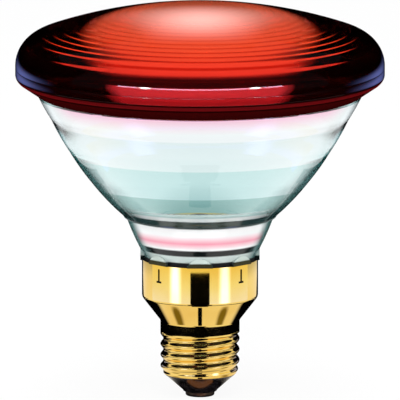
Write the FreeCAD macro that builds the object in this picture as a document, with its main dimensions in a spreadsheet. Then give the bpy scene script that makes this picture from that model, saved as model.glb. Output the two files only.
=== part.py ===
"""Infrared heat lamp bulb: a red lens on a silvered pressed glass bowl, with a skirted brass screw cap.

Millimetres, +Z up. The origin is the middle of the contact face at the bottom of the cap, so every
height is stacked up from there: contact, insulator, screw shell, taper, skirt, neck, bowl, rim, lens.
"""
import FreeCAD, Part
import math
import os
import Sketcher

doc = FreeCAD.newDocument("heat_lamp")

# Driving dimensions: alias, value, and what it measures
DIMENSIONS = (
    ("contact_diameter", 9.6, "contact button"),
    ("contact_height", 1.5, "contact button, from its face to the insulator"),
    ("contact_edge", 0.6, "rounding of the button's edge"),
    ("eyelet_diameter", 4.0, "tube of the contact, outside"),
    ("eyelet_bore", 2.4, "tube of the contact, inside"),
    ("eyelet_length", 8.5, "tube above the button"),
    ("solder_depth", 1.4, "solder in the eyelet and on the shell wire's end"),
    ("solder_recess", 0.3, "solder in the eyelet, above the contact face"),
    ("insulator_tip_diameter", 11.4, "insulator where it meets the button"),
    ("insulator_height", 6.0, "cone of the insulator, up to the shell's mouth"),
    ("insulator_plug", 3.4, "insulator inside the screw shell"),
    ("insulator_dish", 1.2, "hollow in the insulator's top"),
    ("shell_wall", 0.5, "brass sheet of the cap"),
    ("mouth_lip", 0.4, "inward roll at the shell's mouth"),
    ("thread_diameter", 26.2, "screw thread over its crests"),
    ("thread_depth", 0.95, "crest above root"),
    ("thread_pitch", 3.629, "one turn of the thread"),
    ("thread_turns", 3.0, "turns of the thread"),
    ("thread_ridge", 2.6, "width of the thread's ridge at its root"),
    ("thread_start", 0.05, "mouth to the thread's first flank"),
    ("thread_length", 13.2, "grooved part of the screw shell"),
    ("collar_length", 3.5, "plain part above the thread"),
    ("collar_step", 0.8, "height of the step from root to collar"),
    ("taper_angle", 37.5, "taper, from the axis, in degrees"),
    ("taper_bend", 1.6, "bend between collar and taper, outside"),
    ("knee_bend", 2.2, "bend between taper and skirt, outside"),
    ("skirt_diameter", 38.4, "skirt of the cap"),
    ("skirt_height", 11.9, "straight part of the skirt"),
    ("lance_count", 4, "staked tabs round the skirt"),
    ("lance_height", 3.9, "upright slit of a tab"),
    ("lance_foot", 2.2, "cross slit of a tab"),
    ("lance_slit", 0.8, "width of the slits"),
    ("lance_drop", 1.4, "skirt's edge to the top of a slit"),
    ("foot_clearance", 0.15, "glass foot inside the skirt"),
    ("foot_length", 6.5, "glass foot below the skirt's edge"),
    ("foot_taper", 1.3, "glass above the skirt's edge before the neck swells"),
    ("neck_bore", 30.4, "hollow of the neck"),
    ("neck_height", 14.2, "skirt's edge to the ledge"),
    ("neck_diameter", 48.8, "neck under the ledge"),
    ("neck_bulge", 80.0, "radius of the neck's swell"),
    ("lug_count", 8, "lugs that stand on the skirt's edge"),
    ("lug_width", 8.6, "width of a lug"),
    ("lug_height", 3.2, "height of a lug"),
    ("lug_reach", 0.5, "lug beyond the skirt"),
    ("ledge_width", 0.9, "overhang of the bowl over the neck"),
    ("ledge_edge", 0.5, "height of the ledge's edge"),
    ("band_one_height", 11.4, "lowest band of the bowl"),
    ("band_one_diameter", 72.0, "bowl at the top of that band"),
    ("band_two_height", 10.3, "second band"),
    ("band_two_diameter", 86.4, "bowl at its top"),
    ("band_three_height", 10.7, "third band"),
    ("band_three_diameter", 98.4, "bowl at its top"),
    ("band_four_height", 8.5, "highest band"),
    ("band_step", 0.2, "shelf between two bands"),
    ("band_bulge", 80.0, "radius of each band's swell"),
    ("lip_diameter", 107.8, "bowl under the flange"),
    ("flange_height", 8.4, "underside of the flange to the seam"),
    ("flange_edge", 2.2, "straight edge of the flange under the seam"),
    ("flange_corner", 2.6, "rounding of the flange"),
    ("flange_turn", 54.0, "turn of that rounding, in degrees"),
    ("rim_diameter", 122.0, "widest part, across the rim"),
    ("rim_wall", 4.0, "glass at the rim and in the lens"),
    ("floor_thickness", 3.0, "glass under the mirror"),
    ("floor_drop", 0.8, "mirror's floor below the ledge"),
    ("floor_diameter", 28.0, "flat floor of the mirror"),
    ("focal_length", 13.0, "mirror's parabola"),
    ("mirror_split", 32.0, "radius where the mirror's two arcs meet"),
    ("tip_diameter", 7.0, "exhaust tip at its root"),
    ("tip_end_diameter", 2.6, "exhaust tip at its sealed end"),
    ("tip_length", 7.0, "exhaust tip"),
    ("lens_edge", 0.6, "straight edge of the lens above the seam"),
    ("shoulder_radius", 11.0, "rounding of the lens"),
    ("dome_radius", 160.0, "face of the lens"),
    ("rib_count", 10, "rings pressed into the back of the lens"),
    ("rib_pitch", 3.0, "spacing of the rings"),
    ("rib_depth", 0.8, "height of the rings"),
    ("rib_first", 21.0, "radius where the rings start"),
    ("ferrule_spacing", 17.0, "between the two ferrules"),
    ("ferrule_diameter", 5.2, "ferrule, outside"),
    ("ferrule_wall", 0.4, "ferrule's wall"),
    ("ferrule_drop", 2.5, "ferrule below the glass floor"),
    ("post_diameter", 1.8, "lead post"),
    ("post_flat", 0.4, "flat at the post's top, from its axis"),
    ("post_overrun", 1.4, "post above the filament's leg"),
    ("post_flat_length", 3.0, "length of that flat"),
    ("filament_wire", 0.4, "wire of the filament"),
    ("filament_leg", 0.6, "straight ends of the filament"),
    ("filament_coil", 2.4, "middle of the coil's wire, across"),
    ("filament_pitch", 1.4, "one turn of the coil"),
    ("filament_turns", 7, "turns of the coil"),
    ("lead_diameter", 0.8, "wires inside the cap"),
    ("lead_drop", 4.0, "straight wire below a ferrule"),
    ("contact_lead_sway", 20.0, "height over which the contact's wire crosses to the axis"),
    ("shell_lead_sway", 15.0, "height over which the shell's wire crosses to the collar"),
    ("shell_solder_width", 3.6, "solder on the shell, across"),
    ("shell_solder_height", 3.0, "solder on the shell, along the wire"),
    ("shell_solder_depth", 1.4, "solder on the shell, in from its wall"),
    ("joint_clearance", 0.1, "shell's wire from the collar's wall"),
)

sheet = doc.addObject("Spreadsheet::Sheet", "Sizes")
for row, (alias, value, meaning) in enumerate(DIMENSIONS, start=1):
    sheet.set(f"A{row}", meaning)
    sheet.set(f"B{row}", str(value))
    sheet.setAlias(f"B{row}", alias)
doc.recompute()


class Size:
    """A length worked out from the sheet: its number now, and the formula that keeps it up to date."""

    def __init__(self, number, formula):
        self.number = number
        self.formula = formula

    def __add__(self, other):
        other = as_size(other)
        return Size(self.number + other.number, f"({self.formula} + {other.formula})")

    def __sub__(self, other):
        other = as_size(other)
        return Size(self.number - other.number, f"({self.formula} - {other.formula})")

    def __mul__(self, other):
        other = as_size(other)
        return Size(self.number * other.number, f"({self.formula} * {other.formula})")

    def __truediv__(self, other):
        other = as_size(other)
        return Size(self.number / other.number, f"({self.formula} / {other.formula})")

    def __neg__(self):
        return Size(-self.number, f"(0 - {self.formula})")


def as_size(value):
    """A plain number taken as a size."""
    return value if isinstance(value, Size) else Size(float(value), repr(float(value)))


def size(alias):
    """A driving dimension of the sheet."""
    return Size(float(sheet.get(alias)), f"Sizes.{alias}")


def root(value):
    """Square root of a size."""
    return Size(math.sqrt(value.number), f"sqrt({value.formula})")


def sine(angle):
    """Sine of an angle in degrees."""
    return Size(math.sin(math.radians(angle.number)), f"sin({angle.formula})")


def cosine(angle):
    """Cosine of an angle in degrees."""
    return Size(math.cos(math.radians(angle.number)), f"cos({angle.formula})")


def bind(thing, property_name, value):
    """Sets a property of a document object and ties it to the sheet."""
    thing.setExpression(property_name, as_size(value).formula)


class Bend:
    """An arc from one corner of an outline to the next, turning left or right on the way."""

    def __init__(self, radius, turn):
        self.radius = as_size(radius)
        self.turn = turn


LEFT, RIGHT = 1, -1
FULL_TURN = 360


def new_body(label):
    """An empty body for one piece."""
    body = doc.addObject("PartDesign::Body", label)
    body.Label = label
    return body


def new_sketch(body, name, plane_role):
    """A sketch on one of the body's own origin planes."""
    sketch = body.newObject("Sketcher::SketchObject", name)
    plane = next(item for item in body.Origin.OriginFeatures if item.Role == plane_role)
    sketch.AttachmentSupport = [(plane, "")]
    sketch.MapMode = "FlatFace"
    return sketch


def pin_point(sketch, edge, end, across, up):
    """Holds one end of an edge at its place, measured from the sketch's origin."""
    for direction, value in (("DistanceX", as_size(across)), ("DistanceY", as_size(up))):
        held = Sketcher.Constraint(direction, -1, 1, edge, end, value.number)
        number = sketch.addConstraint(held)
        if "Sizes" in value.formula:
            bind(sketch, f"Constraints[{number}]", value)


def draw(sketch, steps, closed=True):
    """Draws corners (across, up) in order; a Bend between two corners joins them by an arc."""
    corners = []
    bends = {}
    for step in steps:
        if isinstance(step, Bend):
            bends[len(corners) - 1] = step
        else:
            corners.append(step)
    edge_count = len(corners) if closed else len(corners) - 1
    ends = []
    for index in range(edge_count):
        first = corners[index]
        last = corners[(index + 1) % len(corners)]
        start = FreeCAD.Vector(as_size(first[0]).number, as_size(first[1]).number, 0)
        stop = FreeCAD.Vector(as_size(last[0]).number, as_size(last[1]).number, 0)
        bend = bends.get(index)
        if bend is None:
            edge = sketch.addGeometry(Part.LineSegment(start, stop), False)
            ends.append((edge, 1, 2))
            continue
        chord = stop - start
        rise = math.sqrt(bend.radius.number ** 2 - (chord.Length / 2) ** 2)
        aside = FreeCAD.Vector(-chord.y, chord.x, 0).normalize() * (bend.turn * rise)
        middle = (start + stop) * 0.5 + aside
        begin, finish = (start, stop) if bend.turn == LEFT else (stop, start)
        circle = Part.Circle(middle, FreeCAD.Vector(0, 0, 1), bend.radius.number)
        from_angle = math.atan2(begin.y - middle.y, begin.x - middle.x)
        to_angle = math.atan2(finish.y - middle.y, finish.x - middle.x)
        edge = sketch.addGeometry(Part.ArcOfCircle(circle, from_angle, to_angle), False)
        ends.append((edge, 1, 2) if bend.turn == LEFT else (edge, 2, 1))
    for index, (edge, start_end, stop_end) in enumerate(ends):
        if closed or index + 1 < edge_count:
            following, following_start = ends[(index + 1) % edge_count][:2]
            sketch.addConstraint(Sketcher.Constraint("Coincident", edge, stop_end, following, following_start))
    for index, (edge, start_end, stop_end) in enumerate(ends):
        pin_point(sketch, edge, start_end, *corners[index])
        if index in bends:
            held = Sketcher.Constraint("Radius", edge, bends[index].radius.number)
            number = sketch.addConstraint(held)
            bind(sketch, f"Constraints[{number}]", bends[index].radius)
    if not closed:
        edge, start_end, stop_end = ends[-1]
        pin_point(sketch, edge, stop_end, *corners[-1])


def draw_circle(sketch, across, up, diameter):
    """Draws one circle at its place."""
    centre = FreeCAD.Vector(as_size(across).number, as_size(up).number, 0)
    circle = Part.Circle(centre, FreeCAD.Vector(0, 0, 1), diameter.number / 2)
    edge = sketch.addGeometry(circle, False)
    pin_point(sketch, edge, 3, across, up)
    number = sketch.addConstraint(Sketcher.Constraint("Diameter", edge, diameter.number))
    bind(sketch, f"Constraints[{number}]", diameter)


def turn(body, name, steps):
    """Adds a solid of revolution about the body's upright axis, from its half section."""
    sketch = new_sketch(body, f"{name}_section", "XZ_Plane")
    draw(sketch, steps)
    turned = body.newObject("PartDesign::Revolution", name)
    turned.Profile = sketch
    turned.ReferenceAxis = (sketch, ["V_Axis"])
    turned.Angle = FULL_TURN
    return turned


def repeat_round(body, feature, name, count_alias):
    """Copies a feature evenly round the body's upright axis."""
    pattern = body.newObject("PartDesign::PolarPattern", name)
    pattern.Originals = [feature]
    axis = next(item for item in body.Origin.OriginFeatures if item.Role == "Z_Axis")
    pattern.Axis = (axis, [""])
    pattern.Angle = FULL_TURN
    pattern.Occurrences = int(size(count_alias).number)
    bind(pattern, "Occurrences", size(count_alias))
    body.Tip = pattern
    return pattern


# Heights of the cap, from the contact face up
insulator_foot = size("contact_height")
mouth = insulator_foot + size("insulator_height")
thread_top = mouth + size("thread_length")
collar_foot = thread_top + size("collar_step")
collar_top = collar_foot + size("collar_length")

# Taper of the cap: two bends with a straight cone between them
taper_sine = sine(size("taper_angle"))
taper_cosine = cosine(size("taper_angle"))
collar_radius = size("thread_diameter") / 2
root_radius = collar_radius - size("thread_depth")
skirt_radius = size("skirt_diameter") / 2
taper_start_radius = collar_radius + size("taper_bend") * (as_size(1) - taper_cosine)
taper_end_radius = skirt_radius - size("knee_bend") * (as_size(1) - taper_cosine)
taper_start = collar_top + size("taper_bend") * taper_sine
taper_end = taper_start + (taper_end_radius - taper_start_radius) * taper_cosine / taper_sine
skirt_foot = taper_end + size("knee_bend") * taper_sine
skirt_top = skirt_foot + size("skirt_height")

# Heights of the glass
ledge = skirt_top + size("neck_height")
band_foot = ledge + size("ledge_edge")
crease_one = band_foot + size("band_one_height")
crease_two = crease_one + size("band_two_height")
crease_three = crease_two + size("band_three_height")
lip = crease_three + size("band_four_height")
seam = lip + size("flange_height")
mirror_floor = ledge - size("floor_drop")
floor_underside = mirror_floor - size("floor_thickness")
mirror_vertex = mirror_floor - size("floor_diameter") * size("floor_diameter") / (size("focal_length") * 16)
focus = mirror_vertex + size("focal_length")

# Inside of the cap's sheet
wall = size("shell_wall")
shell_bore_radius = root_radius - wall
collar_bore_radius = collar_radius - wall
skirt_bore_radius = skirt_radius - wall

# Cap shell: one drawn brass sheet, from the rolled mouth up to the skirt's edge
cap_shell = new_body("cap_shell")
mouth_radius = root_radius - size("mouth_lip")
turn(cap_shell, "drawn_shell", [
    (mouth_radius, mouth),
    Bend(size("mouth_lip"), LEFT),
    (root_radius, mouth + size("mouth_lip")),
    (root_radius, thread_top),
    (collar_radius, collar_foot),
    (collar_radius, collar_top),
    Bend(size("taper_bend"), RIGHT),
    (taper_start_radius, taper_start),
    (taper_end_radius, taper_end),
    Bend(size("knee_bend"), LEFT),
    (skirt_radius, skirt_foot),
    (skirt_radius, skirt_top),
    (skirt_bore_radius, skirt_top),
    (skirt_bore_radius, skirt_foot),
    Bend(size("knee_bend") - wall, RIGHT),
    (taper_end_radius - wall * taper_cosine, taper_end + wall * taper_sine),
    (taper_start_radius - wall * taper_cosine, taper_start + wall * taper_sine),
    Bend(size("taper_bend") + wall, LEFT),
    (collar_bore_radius, collar_top),
    (collar_bore_radius, collar_foot),
    (shell_bore_radius, thread_top),
    (shell_bore_radius, mouth + size("mouth_lip")),
    (mouth_radius, mouth + wall),
])

# Screw thread: a round ridge that climbs the shell
ridge = new_sketch(cap_shell, "thread_ridge", "YZ_Plane")
ridge_foot = mouth + size("mouth_lip") + size("thread_start")
ridge_half = size("thread_ridge") / 2
ridge_root = root_radius - wall / 2
ridge_arch = (ridge_half * ridge_half + size("thread_depth") * size("thread_depth")) / (size("thread_depth") * 2)
draw(ridge, [
    (ridge_root, ridge_foot),
    (root_radius, ridge_foot),
    Bend(ridge_arch, LEFT),
    (root_radius, ridge_foot + ridge_half * 2),
    (ridge_root, ridge_foot + ridge_half * 2),
])
thread = cap_shell.newObject("PartDesign::AdditiveHelix", "screw_thread")
thread.Profile = ridge
thread.ReferenceAxis = (ridge, ["V_Axis"])
thread.Mode = "pitch-turns-angle"
thread.Pitch = size("thread_pitch").number
thread.Turns = size("thread_turns").number
bind(thread, "Pitch", size("thread_pitch"))
bind(thread, "Turns", size("thread_turns"))

# Staked tabs: an upright slit with a cross slit at its foot, cut through the skirt
slit = new_sketch(cap_shell, "lance_slits", "XZ_Plane")
half_slit = size("lance_slit") / 2
half_foot = size("lance_foot") / 2
slit_top = skirt_top - size("lance_drop")
slit_foot = slit_top - size("lance_height")
draw(slit, [
    (-half_foot, slit_foot - size("lance_slit")),
    (half_foot, slit_foot - size("lance_slit")),
    (half_foot, slit_foot),
    (half_slit, slit_foot),
    (half_slit, slit_top),
    (-half_slit, slit_top),
    (-half_slit, slit_foot),
    (-half_foot, slit_foot),
])
half_step = as_size(FULL_TURN) / size("lance_count") / 2
slit.AttachmentOffset = FreeCAD.Placement(
    FreeCAD.Vector(), FreeCAD.Rotation(FreeCAD.Vector(0, 1, 0), half_step.number))
bind(slit, "AttachmentOffset.Rotation.Angle", half_step)
lance = cap_shell.newObject("PartDesign::Pocket", "lance")
lance.Profile = slit
lance.Length = (skirt_radius + wall).number
bind(lance, "Length", skirt_radius + wall)
repeat_round(cap_shell, lance, "lances", "lance_count")

# Insulator: a black glass cone that fills the shell's mouth
cap_insulator = new_body("cap_insulator")
eyelet_radius = size("eyelet_diameter") / 2
plug_top = mouth + size("insulator_plug")
turn(cap_insulator, "insulator", [
    (eyelet_radius, insulator_foot),
    (size("insulator_tip_diameter") / 2, insulator_foot),
    (mouth_radius, mouth),
    (mouth_radius, mouth + wall),
    (shell_bore_radius, mouth + size("mouth_lip")),
    (shell_bore_radius, plug_top),
    (eyelet_radius, plug_top - size("insulator_dish")),
])

# Centre contact: a button with an eyelet that holds it in the insulator
centre_contact = new_body("centre_contact")
button_radius = size("contact_diameter") / 2
bore_radius = size("eyelet_bore") / 2
turn(centre_contact, "button", [
    (bore_radius, 0),
    (button_radius - size("contact_edge"), 0),
    Bend(size("contact_edge"), LEFT),
    (button_radius, size("contact_edge")),
    (button_radius, insulator_foot),
    (eyelet_radius, insulator_foot),
    (eyelet_radius, insulator_foot + size("eyelet_length")),
    (bore_radius, insulator_foot + size("eyelet_length")),
])

# Solder in the eyelet, round the end of the contact's wire
contact_solder = new_body("contact_solder")
lead_radius = size("lead_diameter") / 2
solder_foot = size("solder_recess")
lead_end = solder_foot + size("solder_depth") / 2
turn(contact_solder, "eyelet_solder", [
    (0, solder_foot),
    (bore_radius, solder_foot),
    (bore_radius, solder_foot + size("solder_depth")),
    (lead_radius, solder_foot + size("solder_depth")),
    (lead_radius, lead_end),
    (0, lead_end),
])

# Reflector bowl: one pressed glass piece with flange, stepped bands, ledge, neck and foot
reflector_bowl = new_body("reflector_bowl")
rim_radius = size("rim_diameter") / 2
flange_foot = seam - size("flange_edge")
flange_inset = size("flange_corner") * (as_size(1) - cosine(size("flange_turn")))
flange_fall = size("flange_corner") * sine(size("flange_turn"))
lip_radius = size("lip_diameter") / 2
neck_radius = size("neck_diameter") / 2
foot_radius = skirt_bore_radius - size("foot_clearance")
foot_bottom = skirt_top - size("foot_length")
neck_start = skirt_top + size("foot_taper")
floor_radius = size("floor_diameter") / 2


def mirror_height(radius):
    """Height of the mirror's parabola at a radius."""
    return mirror_vertex + radius * radius / (size("focal_length") * 4)


def mirror_radius(height):
    """Radius of the mirror's parabola at a height."""
    return root((height - mirror_vertex) * size("focal_length") * 4)


def mirror_bend(inner, outer):
    """Arc that follows the parabola between two radii, with its curvature halfway."""
    slope = (inner + outer) / (size("focal_length") * 4)
    steepness = slope * slope + 1
    return Bend(size("focal_length") * 2 * steepness * root(steepness), LEFT)


def band(top_radius, top, low_radius, low):
    """One band of the bowl, slightly swollen, from its top down to its foot."""
    return [(top_radius, top), Bend(size("band_bulge"), RIGHT), (low_radius, low)]


step = size("band_step")
crease_one_radius = size("band_one_diameter") / 2
crease_two_radius = size("band_two_diameter") / 2
crease_three_radius = size("band_three_diameter") / 2
mirror_top = mirror_radius(lip)
inner_rim = rim_radius - size("rim_wall")
turn(reflector_bowl, "pressed_bowl", [
    (rim_radius, seam),
    (rim_radius, flange_foot),
    Bend(size("flange_corner"), RIGHT),
    (rim_radius - flange_inset, flange_foot - flange_fall),
    *band(lip_radius, lip, crease_three_radius, crease_three),
    *band(crease_three_radius + step, crease_three, crease_two_radius, crease_two),
    *band(crease_two_radius + step, crease_two, crease_one_radius, crease_one),
    *band(crease_one_radius + step, crease_one, neck_radius + size("ledge_width"), band_foot),
    (neck_radius + size("ledge_width"), ledge),
    (neck_radius, ledge),
    Bend(size("neck_bulge"), RIGHT),
    (foot_radius, neck_start),
    (foot_radius, foot_bottom),
    (size("neck_bore") / 2, foot_bottom),
    (size("neck_bore") / 2, floor_underside),
    (size("tip_diameter") / 2, floor_underside),
    (size("tip_end_diameter") / 2, floor_underside - size("tip_length")),
    (0, floor_underside - size("tip_length")),
    (0, mirror_floor),
    (floor_radius, mirror_floor),
    mirror_bend(floor_radius, size("mirror_split")),
    (size("mirror_split"), mirror_height(size("mirror_split"))),
    mirror_bend(size("mirror_split"), mirror_top),
    (mirror_top, lip),
    (inner_rim, flange_foot - flange_fall + size("flange_corner")),
    (inner_rim, seam),
])

# Lugs of the glass: round-topped, standing on the skirt's edge
lug_outline = new_sketch(reflector_bowl, "lug_outline", "XZ_Plane")
half_lug = size("lug_width") / 2
lug_arch = (half_lug * half_lug + size("lug_height") * size("lug_height")) / (size("lug_height") * 2)
draw(lug_outline, [
    (-half_lug, skirt_top),
    (half_lug, skirt_top),
    Bend(lug_arch, LEFT),
])
lug_root = foot_radius - size("lug_height")
bind(lug_outline, "AttachmentOffset.Base.z", lug_root)
lug = reflector_bowl.newObject("PartDesign::Pad", "lug")
lug.Profile = lug_outline
bind(lug, "Length", skirt_radius + size("lug_reach") - lug_root)
repeat_round(reflector_bowl, lug, "lugs", "lug_count")

# Bores in the mirror's floor for the two ferrules
ferrule_place = size("ferrule_spacing") / 2
bores = new_sketch(reflector_bowl, "ferrule_bores", "XY_Plane")
for place in (-ferrule_place, ferrule_place):
    draw_circle(bores, place, 0, size("ferrule_diameter"))
bind(bores, "AttachmentOffset.Base.z", mirror_floor)
seats = reflector_bowl.newObject("PartDesign::Pocket", "ferrule_seats")
seats.Profile = bores
bind(seats, "Length", size("floor_thickness"))

# Lens: a red glass dome whose shoulder rolls into the face, with rings pressed into its back
lens = new_body("lens")
shoulder = size("shoulder_radius")
dome = size("dome_radius")
lens_wall = size("rim_wall")
shoulder_place = rim_radius - shoulder
shoulder_level = seam + size("lens_edge")
centre_gap = dome - shoulder
centre_rise = root(centre_gap * centre_gap - shoulder_place * shoulder_place)
dome_centre = shoulder_level - centre_rise
inner_dome = dome - lens_wall
inner_shoulder = shoulder - lens_wall


def on_line_of_centres(from_shoulder):
    """Point where shoulder and face touch, at a distance from the shoulder's centre."""
    across = shoulder_place + shoulder_place * from_shoulder / centre_gap
    return across, shoulder_level + centre_rise * from_shoulder / centre_gap


def back_of_lens(radius):
    """Height of the smooth back of the lens at a radius."""
    return dome_centre + root(inner_dome * inner_dome - radius * radius)


rings = []
for number in reversed(range(int(size("rib_count").number))):
    rib_outer = size("rib_first") + size("rib_pitch") * (number + 1)
    rib_crest = size("rib_first") + size("rib_pitch") * (number + 0.5)
    rings.append((rib_outer, back_of_lens(rib_outer)))
    rings.append((rib_crest, back_of_lens(rib_crest) - size("rib_depth")))
turn(lens, "pressed_lens", [
    (0, dome_centre + dome),
    Bend(dome, RIGHT),
    on_line_of_centres(shoulder),
    Bend(shoulder, RIGHT),
    (rim_radius, shoulder_level),
    (rim_radius, seam),
    (inner_rim, seam),
    (inner_rim, shoulder_level),
    Bend(inner_shoulder, LEFT),
    on_line_of_centres(inner_shoulder),
    *rings,
    (size("rib_first"), back_of_lens(size("rib_first"))),
    Bend(inner_dome, LEFT),
    (0, dome_centre + inner_dome),
])

# Ferrules and lead posts: a metal thimble sealed in each bore, with a stiff rod standing in it
ferrule_radius = size("ferrule_diameter") / 2
ferrule_foot = floor_underside - size("ferrule_drop")
post_radius = size("post_diameter") / 2
post_foot = ferrule_foot + size("ferrule_wall")
leg_height = focus + size("filament_coil") / 2
post_top = leg_height + size("post_overrun")
for side, place, facing in (("left", -ferrule_place, 0), ("right", ferrule_place, FULL_TURN / 2)):
    ferrule = new_body(f"ferrule_{side}")
    turn(ferrule, f"thimble_{side}", [
        (0, ferrule_foot),
        (ferrule_radius, ferrule_foot),
        (ferrule_radius, mirror_floor),
        (ferrule_radius - size("ferrule_wall"), mirror_floor),
        (ferrule_radius - size("ferrule_wall"), post_foot),
        (0, post_foot),
    ])
    bind(ferrule, "Placement.Base.x", place)

    post = new_body(f"lead_post_{side}")
    turn(post, f"rod_{side}", [
        (0, post_foot),
        (post_radius, post_foot),
        (post_radius, post_top),
        (0, post_top),
    ])
    flat = new_sketch(post, f"flat_{side}", "XZ_Plane")
    draw(flat, [
        (size("post_flat"), post_top - size("post_flat_length")),
        (size("post_diameter"), post_top - size("post_flat_length")),
        (size("post_diameter"), post_top + size("post_overrun")),
        (size("post_flat"), post_top + size("post_overrun")),
    ])
    pressed = post.newObject("PartDesign::Pocket", f"pressed_flat_{side}")
    pressed.Profile = flat
    pressed.Midplane = True
    bind(pressed, "Length", size("post_diameter") * 2)
    bind(post, "Placement.Base.x", place)
    post.Placement = FreeCAD.Placement(post.Placement.Base, FreeCAD.Rotation(FreeCAD.Vector(0, 0, 1), facing))

# Filament: a coil across the mirror's focus, with a straight leg to each post
filament = new_body("filament")
coil_length = size("filament_pitch") * size("filament_turns")
coil_start = -coil_length / 2
coil_wire = new_sketch(filament, "coil_wire", "XZ_Plane")
draw_circle(coil_wire, coil_start, size("filament_coil") / 2, size("filament_wire"))
bind(coil_wire, "AttachmentOffset.Base.y", focus)
coil = filament.newObject("PartDesign::AdditiveHelix", "coil")
coil.Profile = coil_wire
coil.ReferenceAxis = (coil_wire, ["H_Axis"])
coil.Mode = "pitch-turns-angle"
coil.Pitch = size("filament_pitch").number
coil.Turns = size("filament_turns").number
bind(coil, "Pitch", size("filament_pitch"))
bind(coil, "Turns", size("filament_turns"))
leg_start = ferrule_place - size("post_flat")
leg_length = leg_start + coil_start + size("filament_leg") / 2
for side, place in (("left", -leg_start), ("right", leg_start - leg_length)):
    leg_wire = new_sketch(filament, f"leg_wire_{side}", "YZ_Plane")
    draw_circle(leg_wire, 0, leg_height, size("filament_leg"))
    bind(leg_wire, "AttachmentOffset.Base.z", place)
    leg = filament.newObject("PartDesign::Pad", f"leg_{side}")
    leg.Profile = leg_wire
    bind(leg, "Length", leg_length)


def lead_wire(label, start, finish, sway, end_height):
    """Wire from under a ferrule: straight down, over to its end's place in two equal arcs, and down again."""
    body = new_body(label)
    offset = finish - start
    bend_radius = (offset * offset + sway * sway) / (offset * 4)
    first_turn = LEFT if offset.number > 0 else RIGHT
    if offset.number < 0:
        bend_radius = -bend_radius
    sway_top = ferrule_foot - size("lead_drop")
    route = new_sketch(body, f"{label}_route", "XZ_Plane")
    draw(route, [
        (start, ferrule_foot),
        (start, sway_top),
        Bend(bend_radius, first_turn),
        (start + offset / 2, sway_top - sway / 2),
        Bend(bend_radius, -first_turn),
        (finish, sway_top - sway),
        (finish, end_height),
    ], closed=False)
    section = new_sketch(body, f"{label}_section", "XY_Plane")
    draw_circle(section, start, 0, size("lead_diameter"))
    bind(section, "AttachmentOffset.Base.z", ferrule_foot)
    wire = body.newObject("PartDesign::AdditivePipe", f"{label}_drawn")
    wire.Profile = section
    wire.Spine = route
    return body


# Wires in the cap: one to the contact's eyelet, one to the shell's collar
shell_lead_place = collar_bore_radius - size("joint_clearance") - lead_radius
solder_level = collar_foot + size("lead_diameter")
contact_lead_wire = lead_wire(
    "contact_lead_wire", ferrule_place, as_size(0), size("contact_lead_sway"), lead_end)
shell_lead_wire = lead_wire(
    "shell_lead_wire", -ferrule_place, -shell_lead_place, size("shell_lead_sway"), solder_level)

# Solder between the shell's wire and the collar's wall
shell_solder = new_body("shell_solder")
half_solder = size("shell_solder_width") / 2
solder_edge = root(collar_bore_radius * collar_bore_radius - half_solder * half_solder)
solder_depth = size("shell_solder_depth")
solder_arch = (half_solder * half_solder + solder_depth * solder_depth) / (solder_depth * 2)
drop = new_sketch(shell_solder, "solder_drop", "XY_Plane")
draw(drop, [
    (-solder_edge, half_solder),
    Bend(collar_bore_radius, LEFT),
    (-solder_edge, -half_solder),
    Bend(solder_arch, LEFT),
])
draw_circle(drop, -shell_lead_place, 0, size("lead_diameter"))
bind(drop, "AttachmentOffset.Base.z", solder_level)
soldered = shell_solder.newObject("PartDesign::Pad", "soldered")
soldered.Profile = drop
bind(soldered, "Length", size("shell_solder_height"))

doc.recompute()

# Every object and every piece has to be sound before it is written
pieces = [item for item in doc.Objects if item.TypeId == "PartDesign::Body"]
for item in doc.Objects:
    if "Invalid" in item.State or "Error" in item.State:
        raise RuntimeError(f"{item.Label} did not rebuild: {item.State}")
for piece in pieces:
    if piece.Shape.isNull() or not piece.Shape.isValid() or len(piece.Shape.Solids) != 1:
        raise RuntimeError(f"{piece.Label} is not one sound solid")

os.makedirs("parts", exist_ok=True)
for piece in pieces:
    piece.Shape.exportStep(f"parts/{piece.Label}.step")
    print(f"{piece.Label}: {piece.Shape.Volume:.1f} mm3")
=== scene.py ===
import math

import bpy
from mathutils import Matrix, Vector


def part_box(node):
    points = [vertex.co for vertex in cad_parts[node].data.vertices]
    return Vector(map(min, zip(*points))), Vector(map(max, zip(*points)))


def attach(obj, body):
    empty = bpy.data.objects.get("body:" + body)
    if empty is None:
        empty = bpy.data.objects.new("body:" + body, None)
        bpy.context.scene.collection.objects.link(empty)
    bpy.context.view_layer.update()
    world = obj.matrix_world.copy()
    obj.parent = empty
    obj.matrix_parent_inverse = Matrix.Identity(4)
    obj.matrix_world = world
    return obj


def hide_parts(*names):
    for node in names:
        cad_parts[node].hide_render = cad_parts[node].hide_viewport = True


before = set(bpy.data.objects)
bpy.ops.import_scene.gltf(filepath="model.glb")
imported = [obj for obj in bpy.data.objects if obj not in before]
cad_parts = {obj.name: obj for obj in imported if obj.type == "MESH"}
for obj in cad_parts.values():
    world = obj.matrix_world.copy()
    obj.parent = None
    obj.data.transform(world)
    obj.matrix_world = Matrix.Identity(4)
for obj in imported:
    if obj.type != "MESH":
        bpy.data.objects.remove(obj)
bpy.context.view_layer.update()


# Camera
# A long lens far away and a little above the rim, so that the ellipses of the rim, the ledge and the
# skirt open equally far, as they do in the photograph.
camera_rise = math.radians(10.3)
camera_distance = 5.0
framed_width = 0.1322
aim_height = 0.0656

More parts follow.
